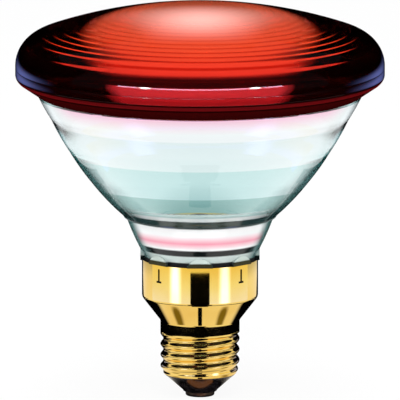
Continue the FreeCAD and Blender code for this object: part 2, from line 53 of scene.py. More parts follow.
bpy.ops.object.select_all(action="DESELECT")
bpy.ops.object.camera_add(
    location=(
        0,
        -camera_distance * math.cos(camera_rise),
        aim_height + camera_distance * math.sin(camera_rise),
    ),
    rotation=(math.pi / 2 - camera_rise, 0, 0),
)
camera = bpy.context.object
camera.data.lens = camera.data.sensor_width * camera_distance / framed_width
scene = bpy.context.scene
scene.camera = camera
scene.view_settings.view_transform = "Standard"
scene.cycles.max_bounces = 32
scene.cycles.glossy_bounces = 16
scene.cycles.transmission_bounces = 24


# Room
# A white room that lights the part evenly from all round. Polished metal mirrors it white below the
# horizon and dim above, and what is looked at through glass has a bright ceiling.
def shader_node(tree, kind, inputs=None, **settings):
    """Adds a shader node; each input is a plain value or another node's output."""
    made = tree.nodes.new(kind)
    for name, value in settings.items():
        setattr(made, name, value)
    for name, value in (inputs or {}).items():
        if isinstance(value, bpy.types.NodeSocket):
            tree.links.new(value, made.inputs[name])
        else:
            made.inputs[name].default_value = value
    return made


def set_stops(ramp, stops):
    """Sets a colour ramp's stops: a place from 0 to 1 and a colour each."""
    elements = ramp.color_ramp.elements
    while len(elements) < len(stops):
        elements.new(1)
    for element, (place, colour) in zip(elements, stops):
        element.position = place
        element.color = (*colour, 1)


white = (1, 1, 1)
ambient_level = 0.55
dim_white = (0.03, 0.03, 0.035)
bright_white = (2.1, 2.1, 2.1)


def rise(angle):
    """Share of the way up from straight down to straight up, at an elevation in degrees."""
    return (1 + math.sin(math.radians(angle))) / 2


seen_by_metal = [(rise(-4), white), (rise(-2), dim_white)]
seen_by_glass = [(rise(30), white), (rise(50), bright_white)]

room = bpy.data.worlds.new("white_room")
room.use_nodes = True
scene.world = room
tree = room.node_tree
tree.nodes.clear()
path = shader_node(tree, "ShaderNodeLightPath")
direction = shader_node(tree, "ShaderNodeTexCoord").outputs["Generated"]
height = shader_node(tree, "ShaderNodeSeparateXYZ", {"Vector": direction}).outputs["Z"]
upright = shader_node(tree, "ShaderNodeMapRange", {"Value": height, "From Min": -1}).outputs["Result"]
walls = shader_node(tree, "ShaderNodeValToRGB", {"Fac": upright})
set_stops(walls, seen_by_metal)
seen_in_metal = shader_node(tree, "ShaderNodeBackground", {"Color": walls.outputs["Color"]})
ceiling = shader_node(tree, "ShaderNodeValToRGB", {"Fac": upright})
set_stops(ceiling, seen_by_glass)
seen_in_glass = shader_node(tree, "ShaderNodeBackground", {"Color": ceiling.outputs["Color"]})
seen_plainly = shader_node(tree, "ShaderNodeBackground", {"Color": (*white, 1)})
ambient = shader_node(tree, "ShaderNodeBackground", {"Color": (*white, 1), "Strength": ambient_level})
shown = ambient.outputs["Background"]
for ray, background in (
    ("Is Glossy Ray", seen_in_metal),
    ("Is Transmission Ray", seen_in_glass),
    ("Is Camera Ray", seen_plainly),
):
    mixed = shader_node(
        tree, "ShaderNodeMixShader", {"Fac": path.outputs[ray], 1: shown, 2: background.outputs[0]},
    )
    shown = mixed.outputs["Shader"]
shader_node(tree, "ShaderNodeOutputWorld", {"Surface": shown})


# Floor
# A wide white table, seen white by the camera, that still takes the lamp's soft shadow. Polished metal and
# clear glass see rings of painted shadow and painted reflection on it instead: round the foot, under the
# rim and far off.
MM = 0.001
floor_size = 8.0
floor_drop = 0.05 * MM
floor_white = (0.86, 0.87, 0.88)
plain_glow = 0.93
glass_reach = 120 * MM
# Painted shadow of the lamp, seen only through glass: dark teal round the foot, white past the rim.
glass_sees_painted_shadow = [
    (20 * MM, (0.45, 0.62, 0.62)),
    (45 * MM, (0.80, 0.90, 0.90)),
    (75 * MM, (0.92, 0.96, 0.96)),
    (105 * MM, white),
]
metal_reach = 800 * MM
black = (0, 0, 0)
# Painted rings seen only by polished metal: painted shade at the foot, pale round it, white, then dark far
# off.
brass_sees_painted_rings = [
    (11 * MM, black),
    (15 * MM, (0.95, 0.90, 0.80)),
    (30 * MM, (0.95, 0.90, 0.80)),
    (60 * MM, white),
    (230 * MM, white),
    (300 * MM, black),
]

bpy.ops.object.select_all(action="DESELECT")
bpy.ops.mesh.primitive_plane_add(size=floor_size, location=(0, 0, -floor_drop))
floor = bpy.context.object
floor.name = "floor"
table_white = bpy.data.materials.new("table_white")
table_white.use_nodes = True
tree = table_white.node_tree
tree.nodes.clear()
path = shader_node(tree, "ShaderNodeLightPath")
place = shader_node(tree, "ShaderNodeTexCoord").outputs["Object"]
from_lamp = shader_node(tree, "ShaderNodeVectorMath", {0: place}, operation="LENGTH").outputs["Value"]
glow_share = shader_node(
    tree, "ShaderNodeMath", {0: path.outputs["Is Camera Ray"], 1: plain_glow}, operation="MULTIPLY",
)
matt = shader_node(tree, "ShaderNodeBsdfDiffuse", {"Color": (*floor_white, 1)})
glow = shader_node(tree, "ShaderNodeEmission", {"Color": (*white, 1)})
shown = shader_node(
    tree, "ShaderNodeMixShader", {"Fac": glow_share.outputs[0], 1: matt.outputs[0], 2: glow.outputs[0]},
).outputs[0]
for ray, reach, rings in (
    ("Is Glossy Ray", metal_reach, brass_sees_painted_rings),
    ("Is Transmission Ray", glass_reach, glass_sees_painted_shadow),
):
    share = shader_node(tree, "ShaderNodeMapRange", {"Value": from_lamp, "From Max": reach})
    tone = shader_node(tree, "ShaderNodeValToRGB", {"Fac": share.outputs["Result"]})
    set_stops(tone, [(radius / reach, colour) for radius, colour in rings])
    ringed = shader_node(tree, "ShaderNodeEmission", {"Color": tone.outputs["Color"]})
    mixed = shader_node(
        tree, "ShaderNodeMixShader", {"Fac": path.outputs[ray], 1: shown, 2: ringed.outputs[0]},
    )
    shown = mixed.outputs["Shader"]
shader_node(tree, "ShaderNodeOutputMaterial", {"Surface": shown})
floor.data.materials.append(table_white)


# Lamps
# One large soft box above the camera and a smaller one overhead.
def hang_soft_box(name, place, size, power):
    """Hangs a square soft box at a place, facing the lamp."""
    bpy.ops.object.select_all(action="DESELECT")
    aim = Vector((0, 0, aim_height))
    turn = (Vector(place) - aim).to_track_quat("Z", "Y").to_euler()
    bpy.ops.object.light_add(type="AREA", location=place, rotation=turn)
    box = bpy.context.object
    box.name = name
    box.data.size = size
    box.data.energy = power
    box.visible_glossy = False
    box.visible_transmission = False


hang_soft_box("front_soft_box", (0, -0.75, 0.95), 0.7, 9)
hang_soft_box("top_soft_box", (0, 0.1, 1.2), 0.6, 9)


# Cards
# Bent black and white cards that stand round the lamp, and cloths on the table, all out of the picture.
# Only polished things mirror them: they draw the dark edges and long highlights of metal and glass.
def card_finish(name, colour, strength):
    """A plain card's finish, dead black or glowing evenly, with its node tree and its glow."""
    finish = bpy.data.materials.new(name)
    finish.use_nodes = True
    tree = finish.node_tree
    tree.nodes.clear()
    glow = shader_node(tree, "ShaderNodeEmission", {"Color": (*colour, 1), "Strength": strength})
    shader_node(tree, "ShaderNodeOutputMaterial", {"Surface": glow.outputs[0]})
    return finish, tree, glow


def fade_to_edges(tree, bearing, half_width, foot, top):
    """How far inside a card's edges a point is: 1 at its middle and 0 at its edges."""
    place = shader_node(tree, "ShaderNodeTexCoord").outputs["Object"]
    parts = shader_node(tree, "ShaderNodeSeparateXYZ", {"Vector": place})
    ahead = shader_node(tree, "ShaderNodeMath", {0: parts.outputs["Y"], 1: -1}, operation="MULTIPLY")
    turn = shader_node(
        tree, "ShaderNodeMath", {0: parts.outputs["X"], 1: ahead.outputs[0]}, operation="ARCTAN2",
    )
    aside = shader_node(
        tree, "ShaderNodeMath", {0: turn.outputs[0], 1: math.radians(bearing)}, operation="SUBTRACT",
    )
    nearest = shader_node(
        tree, "ShaderNodeMath", {0: aside.outputs[0], 1: math.pi, 2: -math.pi}, operation="WRAP",
    )
    above = shader_node(
        tree, "ShaderNodeMath", {0: parts.outputs["Z"], 1: (foot + top) / 2}, operation="SUBTRACT",
    )
    shares = []
    for offset, limit in ((nearest, math.radians(half_width)), (above, (top - foot) / 2)):
        away = shader_node(tree, "ShaderNodeMath", {0: offset.outputs[0]}, operation="ABSOLUTE")
        share = shader_node(
            tree, "ShaderNodeMapRange",
            {"Value": away.outputs[0], "From Max": limit, "To Min": 1, "To Max": 0},
            interpolation_type="SMOOTHSTEP",
        )
        shares.append(share.outputs["Result"])
    both = shader_node(tree, "ShaderNodeMath", {0: shares[0], 1: shares[1]}, operation="MULTIPLY")
    return both.outputs[0]


def weave_gauze(tree, glow, inside, thickness):
    """Mixes a card's glow with clear gaps, so that it is thick only well inside its edges."""
    weave = shader_node(
        tree, "ShaderNodeMath", {0: inside, 1: thickness}, operation="MULTIPLY", use_clamp=True,
    )
    gaps = shader_node(tree, "ShaderNodeBsdfTransparent")
    gauze = shader_node(
        tree, "ShaderNodeMixShader", {"Fac": weave.outputs[0], 1: gaps.outputs[0], 2: glow.outputs[0]},
    )
    output = next(item for item in tree.nodes if item.type == "OUTPUT_MATERIAL")
    tree.links.new(gauze.outputs["Shader"], output.inputs["Surface"])


def glow_finish(name, colour, bearing, half_width, foot, top, peak):
    """A glowing card, brightest at its middle, that fades to its edges."""
    finish, tree, glow = card_finish(name, colour, peak)
    inside = fade_to_edges(tree, bearing, half_width, foot, top)
    level = shader_node(tree, "ShaderNodeMath", {0: inside, 1: peak}, operation="MULTIPLY")
    tree.links.new(level.outputs[0], glow.inputs["Strength"])
    return finish


def gauze_finish(name, colour, strength, bearing, half_width, foot, top, thickness):
    """A black or glowing gauze that lets more of what is behind it through towards its edges."""
    finish, tree, glow = card_finish(name, colour, strength)
    inside = fade_to_edges(tree, bearing, half_width, foot, top)
    weave_gauze(tree, glow, inside, thickness)
    return finish


def spot_finish(name, colour, strength, middle, radius, thickness):
    """A round spot on a cloth, that fades away to its edge."""
    finish, tree, glow = card_finish(name, colour, strength)
    place = shader_node(tree, "ShaderNodeTexCoord").outputs["Object"]
    from_middle = shader_node(
        tree, "ShaderNodeVectorMath", {0: place, 1: (*middle, floor_drop)}, operation="DISTANCE",
    )
    inside = shader_node(
        tree, "ShaderNodeMapRange",
        {"Value": from_middle.outputs["Value"], "From Max": radius, "To Min": 1, "To Max": 0},
        interpolation_type="SMOOTHSTEP",
    )
    weave_gauze(tree, glow, inside.outputs["Result"], thickness)
    return finish


def tone_by_height(tree, stops):
    """A colour that changes with height: a height and a colour each."""
    foot, top = stops[0][0], stops[-1][0]
    place = shader_node(tree, "ShaderNodeTexCoord").outputs["Object"]
    height = shader_node(tree, "ShaderNodeSeparateXYZ", {"Vector": place}).outputs["Z"]
    share = shader_node(tree, "ShaderNodeMapRange", {"Value": height, "From Min": foot, "From Max": top})
    tone = shader_node(tree, "ShaderNodeValToRGB", {"Fac": share.outputs["Result"]})
    set_stops(tone, [((level - foot) / (top - foot), colour) for level, colour in stops])
    return tone.outputs["Color"]


def graded_finish(name, stops):
    """A glowing card whose colour changes with height."""
    finish, tree, glow = card_finish(name, white, 1)
    tree.links.new(tone_by_height(tree, stops), glow.inputs["Color"])
    return finish


def hide_from_camera(card):
    """Leaves a card to be mirrored by polished things, and seen by nothing else."""
    card.visible_camera = False
    card.visible_diffuse = False
    card.visible_shadow = False
    card.visible_transmission = False


def stand_card(name, finish, distance, bearing, half_width, foot, top):
    """Bends a card round the lamp: its distance, the bearing of its middle, its half width and heights."""
    bpy.ops.object.select_all(action="DESELECT")
    bpy.ops.mesh.primitive_plane_add(size=MM)
    card = bpy.context.object
    card.name = name
    start = math.radians(bearing + half_width - 90)
    bpy.ops.object.mode_set(mode="EDIT")
    bpy.ops.mesh.merge(type="CENTER")
    bpy.ops.transform.translate(value=(distance * math.cos(start), distance * math.sin(start), foot))
    bpy.ops.mesh.extrude_vertices_move(TRANSFORM_OT_translate={"value": (0, 0, top - foot)})
    bpy.ops.mesh.select_all(action="SELECT")
    bpy.ops.mesh.spin(
        steps=card_steps, angle=math.radians(2 * half_width), center=(0, 0, 0), axis=(0, 0, 1),
    )
    bpy.ops.object.mode_set(mode="OBJECT")
    card.data.materials.append(finish)
    hide_from_camera(card)


def lay_cloth(name, finish, corner, opposite):
    """Lays a cloth on the table, from one corner to the opposite one."""
    bpy.ops.object.select_all(action="DESELECT")
    middle = ((corner[0] + opposite[0]) / 2, (corner[1] + opposite[1]) / 2, floor_drop)
    bpy.ops.mesh.primitive_plane_add(size=1, location=middle)
    cloth = bpy.context.object
    cloth.name = name
    cloth.scale = (abs(opposite[0] - corner[0]), abs(opposite[1] - corner[1]), 1)
    bpy.ops.object.transform_apply()
    cloth.data.materials.append(finish)
    hide_from_camera(cloth)


card_steps = 48
black_card = card_finish("black_card", black, 0)[0]
thread_card = card_finish("thread_card", (1.0, 0.97, 0.90), 0.85)[0]
strip_edge = card_finish("strip_edge", (0.80, 0.70, 1.0), 14)[0]
copper = card_finish("copper", (1.0, 0.35, 0.10), 0.9)[0]
haze = glow_finish("haze", (1.0, 0.82, 0.80), 180, 10, 0.17, 0.53, 2.6)
skirt_tones = graded_finish("skirt_tones", [
    (20 * MM, (1.02, 1.15, 2.0)),
    (26 * MM, (1.0, 1.05, 1.0)),
    (33 * MM, (0.96, 0.85, 0.38)),
])

# Each card's name, finish, distance, bearing and half width in degrees, foot and top
standing_cards = [
    ("front_black_card", black_card, 0.06, 0, 16, 0, 0.037),
    ("back_black_card", black_card, 0.06, 180, 42, 0, 0.040),
    ("collar_card", black_card, 0.032, 0, 180, 0.0168, 0.0215),
    ("skirt_card", skirt_tones, 0.09, 0, 100, 0.012, 0.040),
    ("thread_card", thread_card, 0.10, 0, 120, 0.042, 0.074),
    ("thread_top_card", thread_card, 0.10, 0, 75, 0.074, 0.092),
    ("thread_stripe_card", black_card, 0.095, 0, 20, 0.041, 0.092),
    ("thread_foot_card", black_card, 0.055, 0, 22, 0, 0.012),
    ("back_curtain", black_card, 0.45, 180, 98, 0.06, 0.44),
    ("haze_card", haze, 0.44, 180, 10, 0.17, 0.53),
    ("strip_edge", strip_edge, 1.01, 0, 52, 0.33, 0.39),
]
for card in standing_cards:
    stand_card(*card)

# Each cloth's name, finish and two corners
cloths = [
    ("back_cloth", black_card, (-0.10, 0.085), (0.10, 0.40)),
    ("line_cloth", black_card, (-0.002, -0.023), (0.002, -0.0145)),
    ("stripe_cloth", black_card, (-0.011, -0.060), (0.011, -0.032)),
    ("copper_cloth", copper, (-0.006, -0.0088), (0.006, -0.0065)),
]
for cloth in cloths:
    lay_cloth(*cloth)

# The same cards and cloths to the left and to the right
for side, name in ((-1, "left"), (1, "right")):
    glint = gauze_finish(f"{name}_glint", (1.0, 1.1, 2.2), 2.4, side * 45, 14, -0.01, 0.055, 1.4)
    stand_card(f"{name}_glint_card", glint, 0.084, side * 45, 14, 0.012, 0.050)
    strip_light = glow_finish(f"{name}_strip", (1.0, 0.95, 1.0), side * 34, 5, 0.29, 0.43, 90)
    stand_card(f"{name}_strip_light", strip_light, 1.0, side * 34, 5, 0.29, 0.43)
    violet = glow_finish(f"{name}_violet", (0.30, 0.36, 1.0), side * 130, 36, -0.02, 0.10, 1.6)
    stand_card(f"{name}_violet_card", violet, 0.44, side * 130, 36, 0.0, 0.10)
    lay_cloth(f"{name}_side_cloth", black_card, (side * 0.040, 0.060), (side * 0.108, 0.270))
    edge_spot = spot_finish(f"{name}_edge_spot", black, 0, (side * 0.050, 0.040), 0.040, 5)
    lay_cloth(f"{name}_edge_cloth", edge_spot, (side * 0.010, 0), (side * 0.090, 0.080))
    olive_place = (side * 0.021, -0.0085)
    olive_spot = spot_finish(f"{name}_olive_spot", (0.30, 0.24, 0.04), 0.7, olive_place, 0.008, 1.6)
    lay_cloth(f"{name}_olive_cloth", olive_spot, (side * 0.013, -0.0165), (side * 0.029, -0.0005))


# Cap shell
# The screw cap: thin brass sheet, drawn to a skirt, then rolled to the thread and polished bright.
# Four staked slits in the skirt hold it to the foot of the glass.
def arc(centre, radius, start, end, count):
    """Points of an arc in the half section, from one angle to another in degrees from the outward axis."""
    points = []
    for number in range(count + 1):
        angle = math.radians(start + (end - start) * number / count)
        points.append((centre[0] + radius * math.cos(angle), centre[1] + radius * math.sin(angle)))
    return points


def spread(first, last, count):
    """Evenly spaced points from one corner of an outline to the next, without the last."""
    return [
        (first[0] + (last[0] - first[0]) * n / count, first[1] + (last[1] - first[1]) * n / count)
        for n in range(count)
    ]


def spin_outline(name, outline, steps):
    """Draws a half section point by point, (radius, height), and spins it about the lamp's axis."""
    bpy.ops.object.select_all(action="DESELECT")
    bpy.ops.mesh.primitive_plane_add(size=MM)
    piece = bpy.context.object
    piece.name = name
    bpy.ops.object.mode_set(mode="EDIT")
    bpy.ops.mesh.merge(type="CENTER")
    bpy.ops.transform.translate(value=(outline[0][0], 0, outline[0][1]))
    for here, there in zip(outline, outline[1:]):
        step = (there[0] - here[0], 0, there[1] - here[1])
        bpy.ops.mesh.extrude_vertices_move(TRANSFORM_OT_translate={"value": step})
    bpy.ops.mesh.select_all(action="SELECT")
    bpy.ops.mesh.spin(steps=steps, angle=math.tau, center=(0, 0, 0), axis=(0, 0, 1))
    bpy.ops.mesh.select_all(action="SELECT")
    bpy.ops.mesh.remove_doubles(threshold=1e-6)
    bpy.ops.mesh.normals_make_consistent(inside=False)
    bpy.ops.object.mode_set(mode="OBJECT")
    return piece


def shade_smooth(piece, sharpest):
    """Shades a piece smooth, apart from edges that turn by more than an angle in degrees."""
    bpy.ops.object.select_all(action="DESELECT")
    piece.select_set(True)
    bpy.context.view_layer.objects.active = piece
    bpy.ops.object.shade_smooth_by_angle(angle=math.radians(sharpest))


def apply_modifier(piece, kind, **settings):
    """Adds a modifier to a piece and applies it."""
    bpy.ops.object.select_all(action="DESELECT")
    piece.select_set(True)
    bpy.context.view_layer.objects.active = piece
    modifier = piece.modifiers.new(kind.lower(), kind)
    for name, value in settings.items():
        setattr(modifier, name, value)
    bpy.ops.object.modifier_apply(modifier=modifier.name)


def new_finish(name):
    """A new material, with its node tree and its Principled shader."""
    finish = bpy.data.materials.new(name)
    finish.use_nodes = True
    return finish, finish.node_tree, finish.node_tree.nodes["Principled BSDF"]


shell_low, shell_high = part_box("cap_shell")
shell_wall = 0.5 * MM
mouth = shell_low.z
mouth_roll = 0.4 * MM
skirt_top = shell_high.z
skirt_radius = shell_high.x
crest_radius = 13.1 * MM
thread_depth = 0.95 * MM
thread_pitch = 3.629 * MM
thread_length = 13.2 * MM
thread_fade = 1.6 * MM
thread_start = 0.36
collar_step = 0.8 * MM
collar_length = 3.5 * MM
taper_angle = 37.5
taper_bend = 1.6 * MM
knee_bend = 2.2 * MM
shell_steps = 320

root_radius = crest_radius - thread_depth
thread_top = mouth + thread_length
collar_foot = thread_top + collar_step
collar_top = collar_foot + collar_length
taper_start = (
    crest_radius + taper_bend * (1 - math.cos(math.radians(taper_angle))),
    collar_top + taper_bend * math.sin(math.radians(taper_angle)),
)
taper_end_radius = skirt_radius - knee_bend * (1 - math.cos(math.radians(taper_angle)))
taper_rise = (taper_end_radius - taper_start[0]) / math.tan(math.radians(taper_angle))
taper_end_height = taper_start[1] + taper_rise
skirt_foot = taper_end_height + knee_bend * math.sin(math.radians(taper_angle))
shell_outline = [
    *arc((root_radius - mouth_roll, mouth + mouth_roll), mouth_roll, -90, 0, 6),
    *spread((root_radius, mouth + mouth_roll), (root_radius, thread_top), 72)[1:],
    *spread((root_radius, thread_top), (crest_radius, collar_foot), 6),
    *spread((crest_radius, collar_foot), (crest_radius, collar_top), 6),
    *arc((crest_radius + taper_bend, collar_top), taper_bend, 180, 180 - taper_angle, 8),
    *spread(taper_start, (taper_end_radius, taper_end_height), 4)[1:],
    *arc((skirt_radius - knee_bend, skirt_foot), knee_bend, -taper_angle, 0, 8),
    *spread((skirt_radius, skirt_foot), (skirt_radius, skirt_top), 36)[1:],
    (skirt_radius, skirt_top),
]
shell = spin_outline("cap_shell_brass", shell_outline, shell_steps)

# The thread is rolled into the sheet: each point of the screw part moves out to its place on the helix.
for vertex in shell.data.vertices:
    radius = math.hypot(vertex.co.x, vertex.co.y)
    above_mouth = vertex.co.z - mouth - mouth_roll
    below_collar = collar_foot - vertex.co.z
    if above_mouth <= 0 or below_collar <= 0:
        continue
    turn = math.atan2(-vertex.co.x, vertex.co.y) / math.tau
    phase = math.tau * (above_mouth / thread_pitch - turn - thread_start)
    fade = min(1, above_mouth / thread_fade)
    ridge = fade * (0.5 + 0.5 * math.cos(phase)) * thread_depth
    out = max(radius, root_radius + ridge) / radius
    vertex.co.x *= out
    vertex.co.y *= out

# The slits: an upright one and a short one across its foot, cut out of the skirt four times.
slit_width = 0.8 * MM
slit_height = 3.9 * MM
slit_foot_length = 2.2 * MM
slit_drop = 1.4 * MM
slit_count = 4
slit_top = skirt_top - slit_drop
slit_foot = slit_top - slit_height


def in_slit(place):
    """Whether a point of the skirt lies in one of the slits."""
    if abs(math.hypot(place.x, place.y) - skirt_radius) > shell_wall:
        return False
    share = math.atan2(place.y, place.x) / math.tau * slit_count
    along = abs(share - math.floor(share) - 0.5) / slit_count * math.tau * skirt_radius
    upright = slit_foot < place.z < slit_top and along < slit_width / 2
    across = slit_foot - slit_width < place.z < slit_foot and along < slit_foot_length / 2
    return upright or across


bpy.ops.object.mode_set(mode="EDIT")
bpy.ops.mesh.select_mode(type="FACE")
bpy.ops.mesh.select_all(action="DESELECT")
bpy.ops.object.mode_set(mode="OBJECT")
for face in shell.data.polygons:
    face.select = in_slit(face.center)
bpy.ops.object.mode_set(mode="EDIT")
bpy.ops.mesh.delete(type="FACE")
bpy.ops.mesh.select_mode(type="VERT")
bpy.ops.object.mode_set(mode="OBJECT")
apply_modifier(shell, "SOLIDIFY", thickness=shell_wall, offset=-1, use_even_offset=True)
shade_smooth(shell, 50)

brass_gold = (0.95, 0.68, 0.20)
brass_deep = (0.88, 0.57, 0.13)
polished_brass, tree, brass = new_finish("polished_brass")
brass.inputs["Metallic"].default_value = 1
place = shader_node(tree, "ShaderNodeTexCoord").outputs["Object"]
cloud = shader_node(tree, "ShaderNodeTexNoise", {"Vector": place, "Scale": 70, "Detail": 3})
tone = shader_node(tree, "ShaderNodeValToRGB", {"Fac": cloud.outputs["Fac"]})
set_stops(tone, [(0.3, brass_gold), (0.75, brass_deep)])
tree.links.new(tone.outputs["Color"], brass.inputs["Base Color"])
drawn = shader_node(tree, "ShaderNodeMapping", {"Vector": place, "Scale": (40, 40, 2600)})
lines = shader_node(
    tree, "ShaderNodeTexNoise", {"Vector": drawn.outputs["Vector"], "Scale": 1, "Detail": 2},
)
polish = shader_node(
    tree, "ShaderNodeMapRange", {"Value": lines.outputs["Fac"], "To Min": 0.035, "To Max": 0.09},
)
tree.links.new(polish.outputs["Result"], brass.inputs["Roughness"])
bump = shader_node(
    tree, "ShaderNodeBump", {"Height": lines.outputs["Fac"], "Strength": 0.02, "Distance": 0.05 * MM},
)
tree.links.new(bump.outputs["Normal"], brass.inputs["Normal"])
shell.data.materials.append(polished_brass)
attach(shell, "root")
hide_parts("cap_shell")


# Cap insulator
# The cone under the thread: black glass, poured molten into the shell's mouth round the eyelet.
insulator_low, insulator_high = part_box("cap_insulator")
cone_foot = insulator_low.z
cone_tip_radius = 5.7 * MM
cone_top_radius = root_radius - mouth_roll
eyelet_radius = 2.0 * MM
plug_dish = 1.2 * MM
fit_gap = 0.02 * MM
plug_radius = root_radius - shell_wall - fit_gap
cone_round = 0.5 * MM
cone_inset = 0.1 * MM
cone_drop = 0.25 * MM
plug_inset = 0.15 * MM
cone_top = (cone_top_radius - cone_inset, mouth - cone_drop)
insulator_outline = [
    (eyelet_radius, cone_foot),
    *arc((cone_tip_radius - cone_round, cone_foot + cone_round), cone_round, -90, -45, 5),
    *spread((cone_tip_radius, cone_foot + cone_round), cone_top, 8),
    cone_top,
    (cone_top_radius - plug_inset, mouth + shell_wall),
    (plug_radius, mouth + shell_wall + mouth_roll),
    (plug_radius, insulator_high.z),
    (eyelet_radius, insulator_high.z - plug_dish),
    (eyelet_radius, cone_foot),
]
insulator = spin_outline("cap_insulator_glass", insulator_outline, 128)
shade_smooth(insulator, 35)

black_glass, tree, glass = new_finish("black_glass")
glass.inputs["IOR"].default_value = 1.6
place = shader_node(tree, "ShaderNodeTexCoord").outputs["Object"]
cloud = shader_node(tree, "ShaderNodeTexNoise", {"Vector": place, "Scale": 320, "Detail": 4})
tone = shader_node(tree, "ShaderNodeValToRGB", {"Fac": cloud.outputs["Fac"]})
set_stops(tone, [(0.35, (0.006, 0.005, 0.006)), (0.7, (0.020, 0.016, 0.018))])
tree.links.new(tone.outputs["Color"], glass.inputs["Base Color"])
polish = shader_node(
    tree, "ShaderNodeMapRange", {"Value": cloud.outputs["Fac"], "To Min": 0.08, "To Max": 0.22},
)
tree.links.new(polish.outputs["Result"], glass.inputs["Roughness"])
bump = shader_node(
    tree, "ShaderNodeBump", {"Height": cloud.outputs["Fac"], "Strength": 0.12, "Distance": 0.1 * MM},
)
tree.links.new(bump.outputs["Normal"], glass.inputs["Normal"])
insulator.data.materials.append(black_glass)
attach(insulator, "root")
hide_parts("cap_insulator")


# Centre contact
# The button at the very bottom: dark brass, pressed from sheet, with its eyelet up in the black glass.
contact_low, contact_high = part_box("centre_contact")
button_radius = contact_high.x
button_edge = 0.6 * MM
eyelet_bore = 1.2 * MM
eyelet_round = 0.3 * MM
contact_outline = [
    *arc((eyelet_bore + eyelet_round, contact_low.z + eyelet_round), eyelet_round, -180, -90, 5),
    *arc((button_radius - button_edge, contact_low.z + button_edge), button_edge, -90, 0, 8),
    (button_radius, cone_foot),
    (eyelet_radius - fit_gap, cone_foot),
    (eyelet_radius - fit_gap, contact_high.z),
    (eyelet_bore, contact_high.z),
    (eyelet_bore, contact_low.z + eyelet_round),
]
contact = spin_outline("centre_contact_button", contact_outline, 96)
shade_smooth(contact, 35)

dark_brass, tree, metal = new_finish("dark_brass")
metal.inputs["Metallic"].default_value = 1
place = shader_node(tree, "ShaderNodeTexCoord").outputs["Object"]
cloud = shader_node(tree, "ShaderNodeTexNoise", {"Vector": place, "Scale": 420, "Detail": 5})
tone = shader_node(tree, "ShaderNodeValToRGB", {"Fac": cloud.outputs["Fac"]})
set_stops(tone, [(0.35, (0.05, 0.04, 0.035)), (0.7, (0.16, 0.115, 0.07))])
tree.links.new(tone.outputs["Color"], metal.inputs["Base Color"])
polish = shader_node(
    tree, "ShaderNodeMapRange", {"Value": cloud.outputs["Fac"], "To Min": 0.28, "To Max": 0.5},
)
tree.links.new(polish.outputs["Result"], metal.inputs["Roughness"])
contact.data.materials.append(dark_brass)
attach(contact, "root")
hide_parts("centre_contact")


# Solder, wires, ferrules, posts and filament
# The metal inside: tin solder on both wire ends, nickel-iron thimbles sealed in the glass floor with
# stiff posts and wires, and a coiled tungsten wire across the mirror's focus.
def inner_metal(name, dark, light, roughness, grain):
    """A bare metal finish with a fine grain in its tone and gloss."""
    finish, tree, metal = new_finish(name)
    metal.inputs["Metallic"].default_value = 1
    place = shader_node(tree, "ShaderNodeTexCoord").outputs["Object"]
    cloud = shader_node(tree, "ShaderNodeTexNoise", {"Vector": place, "Scale": grain, "Detail": 4})
    tone = shader_node(tree, "ShaderNodeValToRGB", {"Fac": cloud.outputs["Fac"]})
    set_stops(tone, [(0.35, dark), (0.7, light)])
    tree.links.new(tone.outputs["Color"], metal.inputs["Base Color"])
    polish = shader_node(
        tree, "ShaderNodeMapRange",
        {"Value": cloud.outputs["Fac"], "To Min": roughness * 0.7, "To Max": roughness * 1.3},
    )
    tree.links.new(polish.outputs["Result"], metal.inputs["Roughness"])
    return finish


dull_nickel, tree, nickel = new_finish("dull_nickel")
nickel.inputs["Base Color"].default_value = (0.86, 0.82, 0.82, 1)
nickel.inputs["Roughness"].default_value = 0.6
nickel.inputs["Metallic"].default_value = 0.2
solder = inner_metal("solder", (0.42, 0.43, 0.44), (0.66, 0.66, 0.67), 0.3, 600)
nickel_iron = inner_metal("nickel_iron", (0.36, 0.34, 0.31), (0.56, 0.54, 0.50), 0.28, 900)
tungsten = inner_metal("tungsten", (0.20, 0.20, 0.21), (0.38, 0.38, 0.39), 0.38, 1400)
inner_finishes = {
    "contact_solder": solder,
    "shell_solder": solder,
    "ferrule_left": dull_nickel,
    "ferrule_right": dull_nickel,
    "lead_post_left": nickel_iron,
    "lead_post_right": nickel_iron,
    "contact_lead_wire": nickel_iron,
    "shell_lead_wire": nickel_iron,
    "filament": tungsten,
}
for node_name, finish in inner_finishes.items():
    for material_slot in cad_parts[node_name].material_slots:
        material_slot.material = finish


# Reflector bowl
# One piece of pressed glass: a flange, four swollen bands, a ledge, a neck and a foot cemented in the skirt.
# Its parabola inside is silvered, with painted shade stepping darker down its bands, red lacquer covers the
# flange, with painted shade under it, and the neck is milky with a painted red glow on its bore. From
# outside the glass is tinted by height, with painted shade and painted red glow in bands for what it
# mirrors, and has painted shade where it is looked at aslant.
def swell(first, last, radius, count):
    """Points of the arc from one corner to the next, swelling away from the lamp's axis on the way down."""
    run = Vector((last[0] - first[0], last[1] - first[1]))
    away = Vector((-run.y, run.x)).normalized()
    depth = math.sqrt(radius ** 2 - (run.length / 2) ** 2)
    middle = (Vector(first) + Vector(last)) / 2 - away * depth
    start = math.degrees(math.atan2(first[1] - middle.y, first[0] - middle.x))
    end = math.degrees(math.atan2(last[1] - middle.y, last[0] - middle.x))
    return arc(middle, radius, start, end, count)


